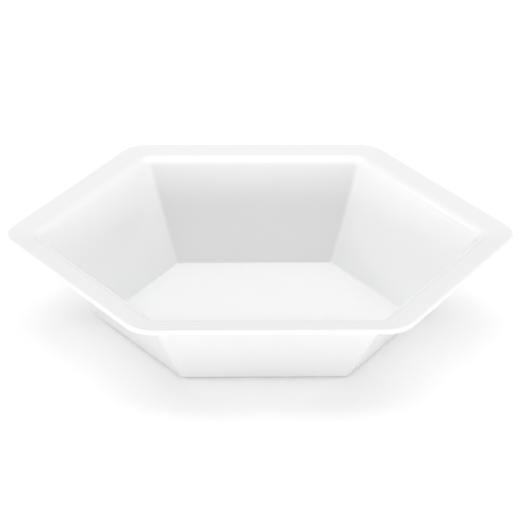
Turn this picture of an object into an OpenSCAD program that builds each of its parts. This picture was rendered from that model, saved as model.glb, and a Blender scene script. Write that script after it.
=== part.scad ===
// Weighing boat: a shallow hexagonal cup with a narrow rim and a pouring tip at each end,
// drawn in one piece from plastic sheet. Millimetres, +Z up, both tips on the X axis.
// The origin is the centre of the underside, on the table that the boat stands on.

/* [Rim] */
// Overall length, from one rounded pouring tip to the other
rim_length = 92; // [80:1:120]
// Width across the two straight sides of the rim
rim_width = 74; // [55:1:90]
// Angle between the two sides that meet at each pouring tip
tip_angle = 114; // [100:1:120]
// Radius of the six outer corners of the rim, seen from above
rim_corner_r = 6; // [4:0.5:10]
// Width of the straight part of the rim, from its outer edge to the start of the shoulder
flange_width = 3.8; // [1.5:0.1:5]
// Dip of the rim towards the cup, in degrees, which leads spilt powder back in
flange_tilt = 5; // [0:0.5:12]
// Height of the outer edge, which is turned down to stiffen the rim
lip_height = 0.8; // [0.7:0.05:1.5]
// Radius that rounds the top of the outer edge
lip_r = 0.4; // [0.2:0.05:0.6]

/* [Cup] */
// Height of the rim's outer edge above the table
cup_height = 18; // [14:0.5:24]
// Slope of the six walls, measured from the vertical
wall_slope = 31; // [20:0.5:38]
// Radius of the shoulder where the rim rolls over into the walls, on its upper side
shoulder_r = 3.25; // [2:0.25:6]
// Radius of the six corners where the shoulder starts, seen from above
shoulder_corner_r = 4; // [2:0.5:6]
// Radius of the fold between walls and floor, inside the cup
floor_fold_r = 0.4; // [0.4:0.1:2]
// Radius of the six folds between neighbouring walls, inside the cup
wall_fold_r = 0.8; // [0.4:0.1:2]

/* [Sheet] */
// Thickness of the plastic sheet
sheet = 0.5; // [0.3:0.05:0.65]

/* [Smoothness] */
// Steps round each corner, seen from above
corner_steps = 8; // [6:1:12]
// Steps round the shoulder, seen in the wall's section
shoulder_steps = 8; // [6:1:12]
// Steps round the floor fold and the top of the lip, seen in the wall's section
fold_steps = 4; // [3:1:6]

/* [Hidden] */

// The rim's sides before their corners are rounded. A side is given by the direction that it
// faces and by its distance from the centre; the list starts beside the tip on +X.
tip_half_angle = tip_angle / 2;
sharp_half_length = rim_length / 2 + rim_corner_r * (1 / sin(tip_half_angle) - 1);
tip_side_distance = sharp_half_length * sin(tip_half_angle);
SIDES = [
    [tip_half_angle - 90, tip_side_distance],
    [90 - tip_half_angle, tip_side_distance],
    [90, rim_width / 2],
    [90 + tip_half_angle, tip_side_distance],
    [270 - tip_half_angle, tip_side_distance],
    [270, rim_width / 2],
    [270 + tip_half_angle, tip_side_distance]
];
CORNERS = [for (i = [0 : len(SIDES) - 2]) [SIDES[i], SIDES[i + 1]]];

// The wall's section lies in a plane with two axes: the inset, which runs from the rim's outer
// edge towards the centre, and the height. The walls stand at this angle to the table.
wall_angle = 90 - wall_slope;

// Both faces of the sheet bend about the same centres, given as [inset, height]
lip_centre = [lip_r, cup_height - lip_r];
lip_top = lip_centre + lip_r * [sin(flange_tilt), cos(flange_tilt)];
shoulder_top = [
    flange_width,
    lip_top[1] - (flange_width - lip_top[0]) * tan(flange_tilt)
];
shoulder_centre = shoulder_top - shoulder_r * [sin(flange_tilt), cos(flange_tilt)];
wall_top = shoulder_centre + shoulder_r * [sin(wall_angle), cos(wall_angle)];
wall_foot_height = sheet + floor_fold_r * (1 - cos(wall_angle));
wall_foot_inset = wall_top[0] + (wall_top[1] - wall_foot_height) / tan(wall_angle);
fold_centre = [wall_foot_inset + floor_fold_r * sin(wall_angle), sheet + floor_fold_r];

// Where two sides meet once each is moved in towards the centre by the inset
function corner_at(pair, inset) =
    let (
        a = pair[0][0],
        b = pair[1][0],
        da = pair[0][1] - inset,
        db = pair[1][1] - inset
    )
    [da * sin(b) - db * sin(a), db * cos(a) - da * cos(b)] / sin(b - a);

// A station is [inset, height, pivot]. The pivot is the inset of the points that the six corners
// turn about. Across the rim the corners tighten from their outer radius to the one at the
// shoulder, and below that the pivot moves in with the wall, so that the folds keep one radius.
function pivot_at(inset) =
    inset < flange_width
    ? rim_corner_r + inset * (1 + (shoulder_corner_r - rim_corner_r) / flange_width)
    : max(flange_width + shoulder_corner_r, inset + wall_fold_r);

// One station drawn all round the boat, anticlockwise from the tip on +X
function ring(station) = [
    for (pair = CORNERS)
        let (
            pivot = corner_at(pair, station[2]),
            radius = station[2] - station[0]
        )
        for (step = [0 : corner_steps])
            let (a = pair[0][0] + (pair[1][0] - pair[0][0]) * step / corner_steps)
            [pivot.x + radius * cos(a), pivot.y + radius * sin(a), station[1]]
];

// The shoulder, bent about its centre at a radius. The pivot comes from the upper face, so that
// the sheet keeps its thickness round the corners too.
function shoulder_at(radius, angle) =
    let (upper_inset = shoulder_centre[0] + shoulder_r * sin(angle))
    [
        shoulder_centre[0] + radius * sin(angle),
        shoulder_centre[1] + radius * cos(angle),
        pivot_at(upper_inset)
    ];

// The fold between wall and floor, bent the other way
function fold_at(radius, angle) =
    let (upper_inset = fold_centre[0] - floor_fold_r * sin(angle))
    [
        fold_centre[0] - radius * sin(angle),
        fold_centre[1] - radius * cos(angle),
        pivot_at(upper_inset)
    ];

// Rounded top of the lip, from the rim's upper face out to the edge
function lip_at(angle) = [
    lip_centre[0] - lip_r * sin(angle),
    lip_centre[1] + lip_r * cos(angle),
    rim_corner_r
];

// Underside of the rim beside the lip
lip_root = [
    sheet,
    shoulder_top[1] - sheet / cos(flange_tilt) + (flange_width - sheet) * tan(flange_tilt),
    rim_corner_r
];

// The whole section: up the inside from the floor, out over the rim, round the lip and back
// down the outside to the underside of the floor
STATIONS = [
    for (i = [0 : fold_steps]) fold_at(floor_fold_r, wall_angle * i / fold_steps),
    for (i = [0 : shoulder_steps])
        shoulder_at(shoulder_r, wall_angle + (flange_tilt - wall_angle) * i / shoulder_steps),
    for (i = [0 : fold_steps]) lip_at(-flange_tilt + (90 + flange_tilt) * i / fold_steps),
    [0, cup_height - lip_height, rim_corner_r],
    [sheet, cup_height - lip_height, rim_corner_r],
    lip_root,
    for (i = [0 : shoulder_steps])
        shoulder_at(shoulder_r - sheet, flange_tilt + (wall_angle - flange_tilt) * i / shoulder_steps),
    for (i = [0 : fold_steps]) fold_at(floor_fold_r + sheet, wall_angle * (1 - i / fold_steps))
];

// The sheet's skin: each ring is joined to the next, and the first and last are closed off as
// the floor's two faces
module sheet_skin(stations) {
    count = len(CORNERS) * (corner_steps + 1);
    last = (len(stations) - 1) * count;
    floor_top = [for (i = [count - 1 : -1 : 0]) i];
    floor_underside = [for (i = [0 : count - 1]) last + i];
    upper_halves = [
        for (start = [0 : count : last - count])
            for (i = [0 : count - 1])
                let (next = (i + 1) % count)
                [start + i, start + next, start + count + next]
    ];
    lower_halves = [
        for (start = [0 : count : last - count])
            for (i = [0 : count - 1])
                let (next = (i + 1) % count)
                [start + i, start + count + next, start + count + i]
    ];
    polyhedron(
        points = [for (station = stations) each ring(station)],
        faces = concat([floor_top], upper_halves, lower_halves, [floor_underside])
    );
}

module weighing_boat() {
    color("white")
        sheet_skin(STATIONS);
}

weighing_boat();
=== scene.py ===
import math

import bpy
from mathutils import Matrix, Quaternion, Vector


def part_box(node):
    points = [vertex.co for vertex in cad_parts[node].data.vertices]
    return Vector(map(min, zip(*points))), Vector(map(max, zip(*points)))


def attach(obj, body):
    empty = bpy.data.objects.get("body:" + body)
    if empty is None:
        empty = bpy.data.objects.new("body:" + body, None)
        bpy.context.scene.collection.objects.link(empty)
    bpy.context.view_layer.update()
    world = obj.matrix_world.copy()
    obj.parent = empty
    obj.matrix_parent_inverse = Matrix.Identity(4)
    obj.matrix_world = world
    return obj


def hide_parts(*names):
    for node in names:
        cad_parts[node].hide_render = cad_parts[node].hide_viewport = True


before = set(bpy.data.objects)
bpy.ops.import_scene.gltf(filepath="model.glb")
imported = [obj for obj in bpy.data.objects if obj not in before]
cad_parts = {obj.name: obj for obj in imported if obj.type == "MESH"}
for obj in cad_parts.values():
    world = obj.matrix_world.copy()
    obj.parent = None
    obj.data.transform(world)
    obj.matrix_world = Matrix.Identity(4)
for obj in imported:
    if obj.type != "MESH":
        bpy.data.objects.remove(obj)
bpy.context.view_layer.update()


# ---------------------------------------------------------------------------------------------
# The boat. One sheet of white high-impact polystyrene is warmed until it sags and is drawn by
# vacuum into a six-sided mould, so every bend is rounded and the sheet keeps one thickness.
# The rim is punched out last, which turns the outer edge down into a narrow stiffening lip.

MM = 0.001
rim_low, rim_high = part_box("weighing_boat")
rim_length = rim_high.x - rim_low.x
rim_width = rim_high.y - rim_low.y
tip_half_angle = math.radians(57)
rim_corner_r = 6.0 * MM
flange_width = 3.8 * MM
flange_tilt = math.radians(5)
lip_height = 0.8 * MM
lip_r = 0.4 * MM
cut_edge_r = 0.1 * MM
wall_slope = math.radians(31)
shoulder_r = 3.25 * MM
shoulder_corner_r = 4.0 * MM
floor_fold_r = 0.4 * MM
wall_fold_r = 0.8 * MM
sheet = 0.5 * MM
corner_steps = 12
shoulder_steps = 18
fold_steps = 6
lip_steps = 6
cut_edge_steps = 2

# The section through a wall lies on two axes: the inset, which runs from the rim's outer edge
# towards the centre, and the height. Both faces of the sheet bend about the same centres.
quarter = math.radians(90)
wall_angle = quarter - wall_slope
# The rim dips towards the cup, so the boat is tallest where the rim runs into its rounded lip
lip_top = rim_high.z - rim_low.z
lip_centre = lip_top - lip_r * math.cos(flange_tilt)
lip_top_inset = lip_r * (1 + math.sin(flange_tilt))
flange_foot = lip_top - (flange_width - lip_top_inset) * math.tan(flange_tilt)
shoulder_inset = flange_width - shoulder_r * math.sin(flange_tilt)
shoulder_height = flange_foot - shoulder_r * math.cos(flange_tilt)
wall_top = shoulder_height + shoulder_r * math.cos(wall_angle)
wall_foot = sheet + floor_fold_r * (1 - math.cos(wall_angle))
fold_inset = shoulder_inset + (shoulder_r + floor_fold_r) * math.sin(wall_angle)
fold_inset += (wall_top - wall_foot) / math.tan(wall_angle)
fold_height = sheet + floor_fold_r


def pivot_at(upper_inset):
    """The inset of the points that the six corners turn about, from that of the upper face."""
    if upper_inset < flange_width:
        tightening = (shoulder_corner_r - rim_corner_r) / flange_width
        return rim_corner_r + upper_inset * (1 + tightening)
    return max(flange_width + shoulder_corner_r, upper_inset + wall_fold_r)


def shoulder_at(radius, angle):
    """A point of the section on the shoulder, as its inset, its height and its pivot."""
    inset = shoulder_inset + radius * math.sin(angle)
    pivot = pivot_at(shoulder_inset + shoulder_r * math.sin(angle))
    return inset, shoulder_height + radius * math.cos(angle), pivot


def fold_at(radius, angle):
    """A point of the section on the fold between wall and floor, which bends the other way."""
    inset = fold_inset - radius * math.sin(angle)
    pivot = pivot_at(fold_inset - floor_fold_r * math.sin(angle))
    return inset, fold_height - radius * math.cos(angle), pivot


def turn(start, end, steps):
    """The angles from start to end in that many equal steps."""
    return [start + (end - start) * step / steps for step in range(steps + 1)]


# Up the inside from the floor, out over the rim, round the lip and back down the outside
section = [fold_at(floor_fold_r, angle) for angle in turn(0, wall_angle, fold_steps)]
for angle in turn(wall_angle, flange_tilt, shoulder_steps):
    section.append(shoulder_at(shoulder_r, angle))
for angle in turn(-flange_tilt, quarter, lip_steps):
    inset = lip_r * (1 - math.sin(angle))
    section.append((inset, lip_centre + lip_r * math.cos(angle), rim_corner_r))
lip_foot = lip_centre + lip_r - lip_height
for angle in turn(0, quarter, cut_edge_steps):
    inset = cut_edge_r * (1 - math.cos(angle))
    section.append((inset, lip_foot + cut_edge_r * (1 - math.sin(angle)), rim_corner_r))
for angle in turn(0, quarter, cut_edge_steps):
    inset = sheet - cut_edge_r * (1 - math.sin(angle))
    section.append((inset, lip_foot + cut_edge_r * (1 - math.cos(angle)), rim_corner_r))
underside = flange_foot - sheet / math.cos(flange_tilt)
underside += (flange_width - sheet) * math.tan(flange_tilt)
section.append((sheet, underside, rim_corner_r))
outer_shoulder_r = shoulder_r - sheet
for angle in turn(flange_tilt, wall_angle, shoulder_steps):
    section.append(shoulder_at(outer_shoulder_r, angle))
outer_fold_r = floor_fold_r + sheet
section += [fold_at(outer_fold_r, angle) for angle in turn(wall_angle, 0, fold_steps)]


def select_vertices(first, last=None, test=None):
    """Selects, in edit mode, the vertices from first up to last whose place passes the test."""
    bpy.ops.mesh.select_all(action="DESELECT")
    bpy.ops.object.mode_set(mode="OBJECT")
    for vertex in bpy.context.object.data.vertices[first:last]:
        vertex.select = test is None or test(vertex.co)
    bpy.ops.object.mode_set(mode="EDIT")


def vertex_count():
    """The number of vertices in the mesh that is being edited."""
    bpy.ops.object.mode_set(mode="OBJECT")
    count = len(bpy.context.object.data.vertices)
    bpy.ops.object.mode_set(mode="EDIT")
    return count


def round_corners(first, test, turned, radius):
    """Bevels the corners that pass the test into arcs of that radius, which turn by that angle."""
    select_vertices(first, test=test)
    # A bevel's profile of 0.5 is an arc only round a square corner. This one goes through the
    # middle of the arc round any corner
    profile = (1 - 1 / (2 * (1 + math.cos(turned / 2)))) ** 2
    bpy.ops.mesh.bevel(
        affect="VERTICES",
        offset=radius * math.tan(turned / 2),
        segments=corner_steps,
        profile=profile,
    )


def add_outline(inset, height, pivot):
    """Adds the boat's outline at that inset and height, after the vertices already there."""
    first = vertex_count()
    half_length = rim_length / 2 + rim_corner_r * (1 / math.sin(tip_half_angle) - 1)
    half_length -= inset / math.sin(tip_half_angle)
    half_width = rim_width / 2 - inset
    half_side = half_length - half_width / math.tan(tip_half_angle)
    radius = pivot - inset

    def ends_a_side(place):
        return abs(place.y) > half_width / 2

    def is_a_tip(place):
        return abs(place.y) < radius / 2

    # A regular hexagon with its tips on X, squeezed in Y and then with its straight sides resized
    centre = (0, 0, height)
    bpy.ops.mesh.primitive_circle_add(
        vertices=6, radius=half_length, location=centre, rotation=(0, 0, quarter)
    )
    squeeze = half_width / (half_length * math.sin(math.radians(60)))
    bpy.ops.transform.resize(value=(1, squeeze, 1), center_override=centre)
    select_vertices(first, test=ends_a_side)
    bpy.ops.transform.resize(value=(half_side / (half_length / 2), 1, 1), center_override=centre)
    round_corners(first, ends_a_side, tip_half_angle, radius)
    round_corners(first, is_a_tip, 2 * (quarter - tip_half_angle), radius)
    return first


# The boat starts as an empty mesh, which the section's outlines are added to one by one
bpy.ops.object.select_all(action="DESELECT")
bpy.ops.mesh.primitive_circle_add(vertices=6, radius=rim_length / 2)
boat = bpy.context.object
boat.name = "boat"
bpy.ops.object.mode_set(mode="EDIT")
bpy.ops.mesh.delete(type="VERT")
# Each outline is joined to the last one from well above it and then lowered into its place,
# because two outlines at one height can be joined the wrong way round
lift = rim_length
before = None
for inset, height, pivot in section:
    first = add_outline(inset, height + lift, pivot)
    if before is not None:
        select_vertices(before)
        bpy.ops.mesh.bridge_edge_loops()
    select_vertices(first)
    bpy.ops.transform.translate(value=(0, 0, -lift))
    before = first
# The first and the last outline are closed off as the floor's two faces
outline_vertices = vertex_count() - before
for first in (0, before):
    select_vertices(first, first + outline_vertices)
    bpy.ops.mesh.edge_face_add()
bpy.ops.mesh.select_all(action="SELECT")
bpy.ops.mesh.normals_make_consistent(inside=False)
bpy.ops.object.mode_set(mode="OBJECT")
bpy.ops.object.shade_smooth()
weighted = boat.modifiers.new("flat walls", "WEIGHTED_NORMAL")
weighted.keep_sharp = True
bpy.ops.object.modifier_apply(modifier=weighted.name)


def linear(hex_colour):
    """An sRGB hex colour as the linear numbers that the sockets take."""
    channels = [int(hex_colour[i : i + 2], 16) / 255 for i in (1, 3, 5)]
    return [c / 12.92 if c <= 0.04045 else ((c + 0.055) / 1.055) ** 2.4 for c in channels] + [1.0]


def add_node(material, kind, settings=None, values=None, links=None):
    """Adds a node with its settings, its sockets' values and its inputs' (node, output) links."""
    node = material.node_tree.nodes.new(kind)
    for name, value in (settings or {}).items():
        setattr(node, name, value)
    for name, value in (values or {}).items():
        node.inputs[name].default_value = value
    for name, (source, output) in (links or {}).items():
        material.node_tree.links.new(source.outputs[output], node.inputs[name])
    return node


# Thermoformed high-impact polystyrene: opaque white with a satin sheen. Its rubber particles
# dull the skin in faint clouds, and the sheet's drawing leaves a shallow orange peel.
sheet_white = linear("#EFF0EF")
polystyrene = bpy.data.materials.new("thermoformed white polystyrene")
polystyrene.use_nodes = True
polystyrene.node_tree.nodes.clear()
place = add_node(polystyrene, "ShaderNodeTexCoord")
# Clouds of duller skin, where the warm sheet touched the mould sooner or later
cloud_size = 12.5 * MM
shiny_roughness = 0.13
dulled_roughness = 0.18
clouds = add_node(
    polystyrene,
    "ShaderNodeTexNoise",
    values={"Scale": 1 / cloud_size, "Detail": 3.0, "Roughness": 0.55},
    links={"Vector": (place, "Object")},
)
dulling = add_node(
    polystyrene,
    "ShaderNodeMapRange",
    values={"From Min": 0.3, "From Max": 0.7, "To Min": shiny_roughness, "To Max": dulled_roughness},
    links={"Value": (clouds, "Fac")},
)
# Orange peel, which is too shallow to feel and only softens the edges of the highlights
peel_size = 1.6 * MM
peel_depth = 0.004 * MM
peel = add_node(
    polystyrene,
    "ShaderNodeTexNoise",
    values={"Scale": 1 / peel_size, "Detail": 2.0, "Roughness": 0.5},
    links={"Vector": (place, "Object")},
)
relief = add_node(
    polystyrene,
    "ShaderNodeBump",
    values={"Strength": 1.0, "Distance": peel_depth},
    links={"Height": (peel, "Fac")},
)
shader = add_node(
    polystyrene,
    "ShaderNodeBsdfPrincipled",
    values={"Base Color": sheet_white, "IOR": 1.59},
    links={"Roughness": (dulling, "Result"), "Normal": (relief, "Normal")},
)
add_node(polystyrene, "ShaderNodeOutputMaterial", links={"Surface": (shader, "BSDF")})
boat.data.materials.append(polystyrene)
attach(boat, "root")
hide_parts("weighing_boat")


# ---------------------------------------------------------------------------------------------
# The stage: a white table, and the soft white light that a small lab part is shown under.
# The table's top is matt, so the boat leaves a soft shadow on it and no reflection.

table_size = 20.0
# The boat stands a hair's breadth clear, because two faces in one plane would flicker
table_gap = 0.03 * MM
bpy.ops.object.select_all(action="DESELECT")
bpy.ops.mesh.primitive_plane_add(size=table_size, location=(0, 0, -table_gap))
table = bpy.context.object
table.name = "table"
laminate_white = linear("#FAFAFA")
white = bpy.data.materials.new("matt white laminate")
white.use_nodes = True
white.node_tree.nodes.clear()
path = add_node(white, "ShaderNodeLightPath")
# Seen straight, in a reflection or through something, the table glows the last bit up to white
glow_to_white = 0.13
seen_or_mirrored = add_node(
    white,
    "ShaderNodeMath",
    settings={"operation": "MAXIMUM"},
    links={0: (path, "Is Camera Ray"), 1: (path, "Is Glossy Ray")},
)
seen_at_all = add_node(
    white,
    "ShaderNodeMath",
    settings={"operation": "MAXIMUM"},
    links={0: (seen_or_mirrored, "Value"), 1: (path, "Is Transmission Ray")},
)
glow_strength = add_node(
    white,
    "ShaderNodeMath",
    settings={"operation": "MULTIPLY"},
    values={1: glow_to_white},
    links={0: (seen_at_all, "Value")},
)
glow = add_node(white, "ShaderNodeEmission", links={"Strength": (glow_strength, "Value")})
top = add_node(white, "ShaderNodeBsdfDiffuse", values={"Color": laminate_white})
both = add_node(white, "ShaderNodeAddShader", links={0: (top, "BSDF"), 1: (glow, "Emission")})
add_node(white, "ShaderNodeOutputMaterial", links={"Surface": (both, "Shader")})
table.data.materials.append(white)

# White walls all round, which fill the shadows
room_brightness = 0.455
world = bpy.data.worlds.new("studio")
world.use_nodes = True
bpy.context.scene.world = world
room = world.node_tree.nodes["Background"]
room.inputs["Color"].default_value = (1, 1, 1, 1)
room.inputs["Strength"].default_value = room_brightness


def direction_to(azimuth, elevation):
    """The way from the boat to that azimuth, 0 at the front, and elevation, both in degrees."""
    around = math.radians(azimuth)
    up = math.radians(elevation)
    return Vector((math.sin(around) * math.cos(up), -math.cos(around) * math.cos(up), math.sin(up)))


def add_softbox(name, azimuth, elevation, distance, width, height, watts):
    """A rectangular lamp that faces the boat from that direction and distance."""
    toward = direction_to(azimuth, elevation)
    bpy.ops.object.light_add(type="AREA", location=toward * distance)
    lamp = bpy.context.object
    lamp.name = name
    lamp.data.shape = "RECTANGLE"
    lamp.data.size = width
    lamp.data.size_y = height
    lamp.data.energy = watts
    lamp.rotation_euler = toward.to_track_quat("Z", "Y").to_euler()


# Azimuth and elevation in degrees, then distance, width and height in metres, and watts
add_softbox("overhead softbox", 180, 82, 1.2, 2.2, 1.3, 12.4)
add_softbox("left softbox", -90, 20, 1.4, 0.8, 0.8, 2.4)
add_softbox("right softbox", 90, 20, 1.4, 0.8, 0.8, 2.3)
add_softbox("low front strip", 0, 4.1, 1.4, 3.0, 0.2, 8.0)
add_softbox("low left strip", -62, 4.1, 1.4, 1.2, 0.2, 2.2)
add_softbox("low right strip", 62, 4.1, 1.4, 1.2, 0.2, 2.5)
add_softbox("left rim light", -120, 30, 1.4, 0.6, 0.35, 0.47)

# The camera looks down into the cup from the front, and is rolled by a degree
camera_distance = 0.60952
camera_roll = math.radians(1.272)
boat_middle = Vector((0, 0, 9.0 * MM))
aim = Vector((0.108 * MM, 0, 12.165 * MM))
bpy.ops.object.camera_add()
camera = bpy.context.object
camera.location = boat_middle + direction_to(-3.129, 27.985) * camera_distance
level = (camera.location - aim).to_track_quat("Z", "Y")
camera.rotation_euler = (level @ Quaternion((0, 0, 1), camera_roll)).to_euler()
camera.data.sensor_width = 36
camera.data.lens = 229.89
camera.data.clip_start = 0.01
bpy.context.scene.camera = camera
bpy.context.scene.view_settings.view_transform = "Standard"
